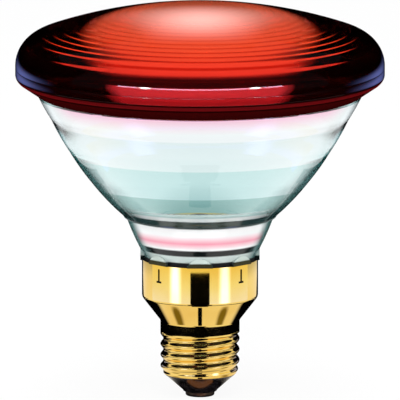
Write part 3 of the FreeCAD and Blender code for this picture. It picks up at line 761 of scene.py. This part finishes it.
lens_low, lens_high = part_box("lens")
rim_radius = lens_high.x
rim_wall = 4 * MM
seam = lens_low.z
foot_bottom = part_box("reflector_bowl")[0].z
foot_radius = skirt_radius - shell_wall - 0.15 * MM
neck_bore = 15.2 * MM
neck_start = skirt_top + 1.3 * MM
neck_radius = 24.4 * MM
neck_swell = 80 * MM
band_swell = 80 * MM
ledge_radius = 25.3 * MM
lip = (53.9 * MM, seam - 8.4 * MM)
crease_three = (49.2 * MM, lip[1] - 8.5 * MM)
crease_two = (43.2 * MM, crease_three[1] - 10.7 * MM)
crease_one = (36.0 * MM, crease_two[1] - 10.3 * MM)
band_foot = (ledge_radius, crease_one[1] - 11.4 * MM)
ledge = band_foot[1] - 0.5 * MM
flange_edge = 2.2 * MM
flange_corner = 2.6 * MM
flange_turn = 54
floor_top = ledge - 0.8 * MM
floor_underside = floor_top - 3 * MM
floor_radius = 14 * MM
focal_length = 13 * MM
tip_radius = 3.5 * MM
tip_end_radius = 1.3 * MM
tip_end = floor_underside - 7 * MM
edge_round = 0.2 * MM

mirror_vertex = floor_top - floor_radius ** 2 / (4 * focal_length)
mirror_top = math.sqrt((lip[1] - mirror_vertex) * 4 * focal_length)
mirror_points = 36
mirror = []
for number in range(mirror_points + 1):
    radius = floor_radius + (mirror_top - floor_radius) * number / mirror_points
    mirror.append((radius, mirror_vertex + radius ** 2 / (4 * focal_length)))
flange_centre = (rim_radius - flange_corner, seam - flange_edge)
flange_end = arc(flange_centre, flange_corner, 0, -flange_turn, 8)

bowl_outline = [
    (rim_radius, seam),
    *flange_end,
    *spread(flange_end[-1], lip, 8)[1:],
    *swell(lip, crease_three, band_swell, 10),
    *swell(crease_three, crease_two, band_swell, 10),
    *swell(crease_two, crease_one, band_swell, 10),
    *swell(crease_one, band_foot, band_swell, 10),
    (ledge_radius, ledge),
    *swell((neck_radius, ledge), (foot_radius, neck_start), neck_swell, 14),
    (foot_radius, foot_bottom),
    (neck_bore, foot_bottom),
    (neck_bore, floor_underside),
    (tip_radius, floor_underside),
    (tip_end_radius, tip_end),
    (0, tip_end),
]
bowl_inside = [
    (0, floor_top),
    *mirror,
    (rim_radius - rim_wall, flange_end[-1][1] + flange_corner),
    (rim_radius - rim_wall, seam),
    (rim_radius, seam),
]
bowl = spin_outline("reflector_bowl_glass", bowl_outline + bowl_inside, 192)
apply_modifier(
    bowl, "BEVEL", width=edge_round, segments=3, limit_method="ANGLE", angle_limit=math.radians(25),
)

# Eight round lugs stand on the skirt's edge, part of the same pressing.
lug_count = 8
lug_width = 8.6 * MM
lug_height = 3.2 * MM
lug_reach = skirt_radius + 0.5 * MM
lug_root = foot_radius - lug_height
lug_lift = 0.05 * MM
lug_arch = ((lug_width / 2) ** 2 + lug_height ** 2) / (2 * lug_height)
lug_centre = skirt_top + lug_height - lug_arch
for number in range(lug_count):
    bpy.ops.object.select_all(action="DESELECT")
    bpy.ops.mesh.primitive_cylinder_add(
        vertices=96, radius=lug_arch, depth=lug_reach - lug_root,
        location=(0, -(lug_reach + lug_root) / 2, lug_centre), rotation=(math.pi / 2, 0, 0),
    )
    lug = bpy.context.object
    bpy.ops.object.transform_apply()
    bpy.ops.object.mode_set(mode="EDIT")
    bpy.ops.mesh.select_all(action="SELECT")
    bpy.ops.mesh.bisect(
        plane_co=(0, 0, skirt_top + lug_lift), plane_no=(0, 0, 1), use_fill=True, clear_inner=True,
    )
    bpy.ops.object.mode_set(mode="OBJECT")
    lug.rotation_euler.z = math.tau * number / lug_count
    bpy.ops.object.transform_apply()
    apply_modifier(bowl, "BOOLEAN", object=lug, operation="UNION", solver="EXACT")
    bpy.data.objects.remove(lug)
shade_smooth(bowl, 22)

clear_glass, tree, glass = new_finish("clear_glass")
glass.inputs["IOR"].default_value = 1.47
glass.inputs["Roughness"].default_value = 0
painted_ledge_shade = (0.02, 0.04, 0.04)
clear = (0.97, 0.985, 0.985)
painted_neck_glow = (0.96, 0.36, 0.47)
painted_lip_glow = (0.99, 0.30, 0.55)
painted_band_shade = (0.45, 0.66, 0.64)
foot_teal = (0.66, 0.78, 0.74)
painted_foot_shade = (0.004, 0.007, 0.007)
# The glass's tint by height, with painted shade in it: black at the foot, a black band above it, a dark band
# at the ledge and a dark teal band above that; and painted red glow: a pink band on the neck and pink at the
# lip.
tints_and_painted_light = [
    (neck_start + 0.1 * MM, painted_foot_shade),
    (neck_start + 0.4 * MM, foot_teal),
    (neck_start + 2.5 * MM, foot_teal),
    (neck_start + 2.7 * MM, painted_foot_shade),
    (neck_start + 4.6 * MM, painted_foot_shade),
    (neck_start + 4.9 * MM, clear),
    (ledge - 7.8 * MM, clear),
    (ledge - 5.6 * MM, painted_neck_glow),
    (ledge - 3.0 * MM, clear),
    (ledge - 0.5 * MM, clear),
    (ledge - 0.1 * MM, painted_ledge_shade),
    (ledge + 2.7 * MM, painted_ledge_shade),
    (ledge + 3.0 * MM, clear),
    (ledge + 4.0 * MM, clear),
    (ledge + 4.4 * MM, painted_band_shade),
    (ledge + 6.2 * MM, clear),
    (lip[1] - 5.5 * MM, clear),
    (lip[1], painted_lip_glow),
]
# Painted shade at the edges, where the glass is looked at aslant: dark teal up to the second crease, pale
# above.
painted_edge_stops = [
    (ledge, (0.10, 0.22, 0.21)),
    (ledge + 0.5 * MM, (0.02, 0.05, 0.05)),
    (crease_two[1], (0.01, 0.035, 0.035)),
    (crease_two[1] + 0.6 * MM, (0.80, 0.94, 0.96)),
]
clear_shares = [
    (neck_start + 0.1 * MM, 0.0),
    (neck_start + 0.4 * MM, 0.25),
    (neck_start + 2.5 * MM, 0.25),
    (neck_start + 2.7 * MM, 0.1),
    (ledge + 2.7 * MM, 0.1),
    (ledge + 3.0 * MM, 0.5),
    (ledge + 5.2 * MM, 0.5),
    (ledge + 6.2 * MM, 1.0),
]
edge_start = 0.52
edge_full = 0.78
plain_tint = tone_by_height(tree, tints_and_painted_light)
painted_edge_shade = tone_by_height(tree, painted_edge_stops)
facing = shader_node(tree, "ShaderNodeLayerWeight", {"Blend": 0.5}).outputs["Facing"]
edge_share = shader_node(
    tree, "ShaderNodeMapRange", {"Value": facing, "From Min": edge_start, "From Max": edge_full},
    interpolation_type="SMOOTHSTEP",
)
edged = shader_node(
    tree, "ShaderNodeMix", {"Factor": edge_share.outputs["Result"], 6: plain_tint, 7: painted_edge_shade},
    data_type="RGBA",
)
from_inside = shader_node(tree, "ShaderNodeNewGeometry").outputs["Backfacing"]
seen_tint = shader_node(
    tree, "ShaderNodeMix", {"Factor": from_inside, 6: edged.outputs[2], 7: (*clear, 1)}, data_type="RGBA",
)
tree.links.new(seen_tint.outputs[2], glass.inputs["Base Color"])
clear_share = tone_by_height(tree, [(level, (share,) * 3) for level, share in clear_shares])
clearness = shader_node(tree, "ShaderNodeMath", {0: clear_share, 1: from_inside}, operation="MAXIMUM")
tree.links.new(clearness.outputs[0], glass.inputs["Transmission Weight"])

# Black cement in the joint above the skirt, made dead black also as painted shade for the gap there.
cement_and_gap_shade, tree, cement = new_finish("cement_and_gap_shade")
cement.inputs["Base Color"].default_value = (0.006, 0.007, 0.007, 1)
cement.inputs["Roughness"].default_value = 0.6
cement.inputs["Specular IOR Level"].default_value = 0.1

silver_film, tree, silver = new_finish("silver_film")
silver.inputs["Metallic"].default_value = 1
behind_crease = 0.5 * MM
soft_edge = 0.12 * MM
# Painted shade on the mirror in steps by height, just behind each crease: darker and tealer in lower bands.
film_painted_shades = [
    (crease_one[1], (0.50, 0.70, 0.68), (0.80, 0.96, 0.96)),
    (crease_two[1], (0.72, 0.90, 0.89), (0.95, 1.0, 1.0)),
    (crease_three[1], (0.85, 0.92, 0.93), (0.97, 0.98, 0.99)),
]
film_stops = []
for level, below, above in film_painted_shades:
    film_stops.append((level + behind_crease - soft_edge, below))
    film_stops.append((level + behind_crease + soft_edge, above))
tree.links.new(tone_by_height(tree, film_stops), silver.inputs["Base Color"])
place = shader_node(tree, "ShaderNodeTexCoord").outputs["Object"]
cloud = shader_node(tree, "ShaderNodeTexNoise", {"Vector": place, "Scale": 90, "Detail": 3})
polish = shader_node(
    tree, "ShaderNodeMapRange", {"Value": cloud.outputs["Fac"], "To Min": 0.02, "To Max": 0.08},
)
tree.links.new(polish.outputs["Result"], silver.inputs["Roughness"])

rim_haze = 0.45


def rim_glass_finish(name, square_on, aslant):
    """Thick hazy red glass at the rim: clear red looked at square on, and painted shade, nearly black,
    aslant.
    """
    finish, tree, glass = new_finish(name)
    glass.inputs["Transmission Weight"].default_value = 1 - rim_haze
    glass.inputs["IOR"].default_value = 1.5
    glass.inputs["Roughness"].default_value = 0
    facing = shader_node(tree, "ShaderNodeLayerWeight", {"Blend": 0.5}).outputs["Facing"]
    tone = shader_node(tree, "ShaderNodeValToRGB", {"Fac": facing})
    set_stops(tone, [(0.10, square_on), (0.14, aslant)])
    tree.links.new(tone.outputs["Color"], glass.inputs["Base Color"])
    return finish


# Red lacquer on the flange, with painted shade where it is looked at aslant.
lacquer_with_painted_shade = rim_glass_finish("lacquer_with_painted_shade", (0.55, 0.012, 0.016), (0.012, 0.0005, 0.0005))

# Painted shade under the flange: the lacquer's red made nearly black, with lighter red bands between dark
# lines.
painted_flange_shade, tree, flange_shader = new_finish("painted_flange_shade")
flange_shader.inputs["Roughness"].default_value = 0.35
flange_shader.inputs["Specular IOR Level"].default_value = 0
shade_top = lip[1] + 5.8 * MM
painted_flange_tints = [
    (lip[1], (0.020, 0.0008, 0.0010)),
    (lip[1] + 3.2 * MM, (0.035, 0.0010, 0.0012)),
    (lip[1] + 3.6 * MM, (0.006, 0.0004, 0.0004)),
    (lip[1] + 3.9 * MM, (0.006, 0.0004, 0.0004)),
    (lip[1] + 4.2 * MM, (0.11, 0.003, 0.004)),
    (lip[1] + 5.2 * MM, (0.09, 0.003, 0.004)),
    (lip[1] + 5.5 * MM, (0.006, 0.0004, 0.0004)),
    (shade_top, (0.006, 0.0004, 0.0004)),
]
tree.links.new(tone_by_height(tree, painted_flange_tints), flange_shader.inputs["Base Color"])

# Painted red glow on the bore, for the red light from inside: white low down, turning pink up to the floor.
painted_glow_film, tree, film = new_finish("painted_glow_film")
film.inputs["Metallic"].default_value = 0.3
film.inputs["Roughness"].default_value = 0.5
bore_height = floor_underside - foot_bottom
painted_glow_tints = [
    (foot_bottom + 0.5 * bore_height, (0.98, 0.99, 0.99)),
    (foot_bottom + 0.75 * bore_height, (0.98, 0.72, 0.77)),
    (floor_underside, (0.98, 0.42, 0.52)),
]
tree.links.new(tone_by_height(tree, painted_glow_tints), film.inputs["Base Color"])

close_by = 0.3 * MM
skin = 0.01 * MM
flange_slope = 0.9
bowl_finishes = [clear_glass, silver_film, lacquer_with_painted_shade, painted_glow_film, painted_flange_shade, cement_and_gap_shade]
for finish in bowl_finishes:
    bowl.data.materials.append(finish)
for face in bowl.data.polygons:
    radius = math.hypot(face.center.x, face.center.y)
    on_mirror = abs(face.center.z - mirror_vertex - radius ** 2 / (4 * focal_length)) < close_by
    finish = clear_glass
    if on_mirror and floor_top + skin < face.center.z < lip[1]:
        finish = silver_film
    elif face.center.z > lip[1] and radius > lip[0]:
        under_flange = radius > lip[0] + flange_slope * (face.center.z - lip[1])
        finish = painted_flange_shade if under_flange and face.center.z < shade_top else lacquer_with_painted_shade
    elif foot_radius - close_by < radius < foot_radius + skin and face.center.z < neck_start:
        finish = cement_and_gap_shade
    elif radius < neck_bore + skin and face.center.z < floor_underside + skin:
        finish = painted_glow_film
    face.material_index = bowl_finishes.index(finish)
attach(bowl, "root")
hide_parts("reflector_bowl")


# Lens
# The face of the lamp: pressed red glass, fused to the bowl's flange, with a smooth dome outside whose
# shoulder rolls down to the seam, and rings pressed into its back. The dome's finish is hazy, with painted
# light round the middle, painted shade lines at the edges of the rings, painted highlights along their
# middles, and painted shade, nearly black, at the rim and where it is looked at aslant.
lens_edge = 0.6 * MM
shoulder_radius = 11 * MM
dome_radius = 160 * MM
seam_gap = 0.05 * MM
lens_foot = seam + seam_gap
shoulder_centre = (rim_radius - shoulder_radius, seam + lens_edge)
dome_centre = (0, lens_high.z - dome_radius)
join_angle = math.degrees(math.atan2(shoulder_centre[1] - dome_centre[1], shoulder_centre[0]))
inner_dome = dome_radius - rim_wall
ring_count = 10
ring_pitch = 3 * MM
ring_depth = 0.25 * MM
ring_first = 21 * MM
ring_points = 8
middle_points = 10


def lens_back(radius):
    """Height of the back of the lens at a radius, rings and all."""
    smooth = dome_centre[1] + math.sqrt(inner_dome ** 2 - radius ** 2)
    along = (radius - ring_first) / ring_pitch
    if 0 <= along <= ring_count:
        return smooth - ring_depth * abs(math.sin(math.pi * along))
    return smooth


ring_last = ring_first + ring_pitch * ring_count
ring_steps = ring_count * ring_points
back_radii = [ring_last - (ring_last - ring_first) * n / ring_steps for n in range(ring_steps + 1)]
back_radii += [ring_first * (1 - n / middle_points) for n in range(1, middle_points + 1)]
lens_outline = [
    *arc(dome_centre, dome_radius, 90, join_angle, 20)[:-1],
    *arc(shoulder_centre, shoulder_radius, join_angle, 0, 20),
    (rim_radius, lens_foot),
    (rim_radius - rim_wall, lens_foot),
    *arc(shoulder_centre, shoulder_radius - rim_wall, 0, join_angle, 16),
    *((radius, lens_back(radius)) for radius in back_radii),
]
lens = spin_outline("lens_red_glass", lens_outline, 192)
shade_smooth(lens, 30)


def red_glass_finish(name, bend, haze, tones):
    """Red glass, deeper towards the rim: its finish, tree, shader, tone and share of the rim's radius."""
    finish, tree, glass = new_finish(name)
    glass.inputs["Transmission Weight"].default_value = 1 - haze
    glass.inputs["IOR"].default_value = bend
    glass.inputs["Roughness"].default_value = 0
    place = shader_node(tree, "ShaderNodeTexCoord").outputs["Object"]
    flat = shader_node(tree, "ShaderNodeVectorMath", {0: place, 1: (1, 1, 0)}, operation="MULTIPLY")
    from_axis = shader_node(tree, "ShaderNodeVectorMath", {0: flat.outputs["Vector"]}, operation="LENGTH")
    share = shader_node(
        tree, "ShaderNodeMapRange", {"Value": from_axis.outputs["Value"], "From Max": rim_radius},
    )
    tone = shader_node(tree, "ShaderNodeValToRGB", {"Fac": share.outputs["Result"]})
    set_stops(tone, tones)
    tree.links.new(tone.outputs["Color"], glass.inputs["Base Color"])
    return finish, tree, glass, tone.outputs["Color"], share.outputs["Result"]


def from_ring_edge(tree, radius_share):
    """How far a point lies from the nearest edge between two rings: 0 there and 0.5 on a ring's middle."""
    along = shader_node(
        tree, "ShaderNodeMath", {0: radius_share, 1: ring_first / rim_radius}, operation="SUBTRACT",
    )
    turns = shader_node(
        tree, "ShaderNodeMath", {0: along.outputs[0], 1: ring_pitch / rim_radius}, operation="DIVIDE",
    )
    return shader_node(
        tree, "ShaderNodeMath", {0: turns.outputs[0], 1: 0.5}, operation="PINGPONG",
    ).outputs[0]


# The front's red by radius, with painted light, paler orange, round the middle and painted shade, nearly
# black, in a band inside the rim.
front_red_and_painted_shade = [
    (0.30, (0.95, 0.17, 0.075)),
    (0.45, (0.97, 0.14, 0.065)),
    (0.60, (0.97, 0.105, 0.045)),
    (0.72, (0.95, 0.080, 0.028)),
    (0.85, (0.92, 0.060, 0.022)),
    (0.93, (0.88, 0.045, 0.022)),
    (0.962, (0.80, 0.035, 0.020)),
    (0.970, (0.25, 0.008, 0.006)),
    (0.977, (0.04, 0.0015, 0.0015)),
]
front_bend = 1.5
front_haze = 0.46
ring_shade_tone = (0.60, 0.22, 0.15)
line_start = 0.5
line_full = 0.87
line_least = 0.15
crest_highlight_start = 0.68
crest_highlight_reach = 0.20
shade_red = (0.0012, 0.0002, 0.0002, 1)
# How far aslant the dome may be looked at, by radius, before its painted shade sets in.
painted_shade_limits = [
    (20 * MM, 0.97),
    (28 * MM, 0.89),
    (34 * MM, 0.82),
    (40 * MM, 0.745),
    (45 * MM, 0.68),
    (50 * MM, 0.61),
    (53.4 * MM, 0.56),
    (57 * MM, 0.38),
    (58.5 * MM, 0.25),
    (60 * MM, 0.145),
    (61 * MM, 0.12),
]
front_glass = red_glass_finish("red_glass", front_bend, front_haze, front_red_and_painted_shade)
red_glass, tree, glass, red_tone, radius_share = front_glass
# Painted shade lines at the edges between rings, out to the rim, fainter towards the middle.
aside = from_ring_edge(tree, radius_share)
line = shader_node(
    tree, "ShaderNodeMapRange",
    {"Value": aside, "From Min": 0.06, "From Max": 0.26, "To Min": 1, "To Max": 0},
    interpolation_type="SMOOTHSTEP",
)
strength = shader_node(
    tree, "ShaderNodeMapRange",
    {"Value": radius_share, "From Min": line_start, "From Max": line_full, "To Min": line_least},
)
drawn = shader_node(
    tree, "ShaderNodeMath", {0: line.outputs["Result"], 1: strength.outputs["Result"]},
    operation="MULTIPLY",
)
deep = shader_node(tree, "ShaderNodeVectorMath", {0: red_tone, 1: ring_shade_tone}, operation="MULTIPLY")
lined = shader_node(
    tree, "ShaderNodeMix", {"Factor": drawn.outputs[0], 6: red_tone, 7: deep.outputs["Vector"]},
    data_type="RGBA",
)
# Painted highlights along the middles of the rings towards the rim: there the painted shade aslant sets in
# later.
reach = shader_node(
    tree, "ShaderNodeMapRange",
    {"Value": radius_share, "From Min": crest_highlight_start, "From Max": line_full, "To Max": crest_highlight_reach},
)
crest_highlight = shader_node(
    tree, "ShaderNodeMapRange",
    {"Value": aside, "From Min": 0.32, "From Max": 0.5, "To Max": reach.outputs["Result"]},
    interpolation_type="SMOOTHSTEP",
)
# Painted shade where the dome is looked at aslant: past the limit the red turns nearly black.
limit = shader_node(tree, "ShaderNodeValToRGB", {"Fac": radius_share})
set_stops(limit, [(radius / rim_radius, (slant,) * 3) for radius, slant in painted_shade_limits])
facing = shader_node(tree, "ShaderNodeLayerWeight", {"Blend": 0.5}).outputs["Facing"]
over = shader_node(tree, "ShaderNodeMath", {0: facing, 1: limit.outputs["Color"]}, operation="SUBTRACT")
over_crest = shader_node(
    tree, "ShaderNodeMath", {0: over.outputs[0], 1: crest_highlight.outputs["Result"]}, operation="SUBTRACT",
)
aslant = shader_node(
    tree, "ShaderNodeMapRange", {"Value": over_crest.outputs[0], "From Min": -0.06, "From Max": 0.04},
    interpolation_type="SMOOTHSTEP",
)
shaded = shader_node(
    tree, "ShaderNodeMix", {"Factor": aslant.outputs["Result"], 6: lined.outputs[2], 7: shade_red},
    data_type="RGBA",
)
tree.links.new(shaded.outputs[2], glass.inputs["Base Color"])

back_tones = [
    (0.72, (0.98, 0.60, 0.40)),
    (0.90, (0.95, 0.20, 0.12)),
    (0.957, (0.30, 0.01, 0.01)),
]
back_bend = 1.12
painted_line_darkest = 0.05
lens_back_glass = red_glass_finish("lens_back_glass", back_bend, 0, back_tones)[0]
ring_glass = red_glass_finish("ringed_glass", back_bend, 0, back_tones)
ringed_glass, tree, glass, red_tone, radius_share = ring_glass
# Painted shade lines on the back, at the edges between rings.
aside = from_ring_edge(tree, radius_share)
line = shader_node(
    tree, "ShaderNodeMapRange",
    {"Value": aside, "From Min": 0.02, "From Max": 0.09, "To Min": painted_line_darkest, "To Max": 1},
    interpolation_type="SMOOTHSTEP",
)
lined = shader_node(
    tree, "ShaderNodeVectorMath", {0: red_tone, "Scale": line.outputs["Result"]}, operation="SCALE",
)
tree.links.new(lined.outputs["Vector"], glass.inputs["Base Color"])

# The rim of the lens: hazy red, with painted shade, nearly black, where it is looked at aslant.
rim_glass = rim_glass_finish("rim_glass", (0.80, 0.035, 0.045), (0.004, 0.0003, 0.0003))
rim_start = 0.9945 * rim_radius
lens_finishes = [red_glass, ringed_glass, rim_glass, lens_back_glass]
for finish in lens_finishes:
    lens.data.materials.append(finish)
for face in lens.data.polygons:
    radius = math.hypot(face.center.x, face.center.y)
    finish = red_glass
    if face.normal.z < 0 and ring_first < radius < ring_last:
        finish = ringed_glass
    elif face.normal.z < 0 and radius < ring_last + rim_wall:
        finish = lens_back_glass
    elif radius > rim_start:
        finish = rim_glass
    face.material_index = lens_finishes.index(finish)
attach(lens, "root")
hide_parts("lens")
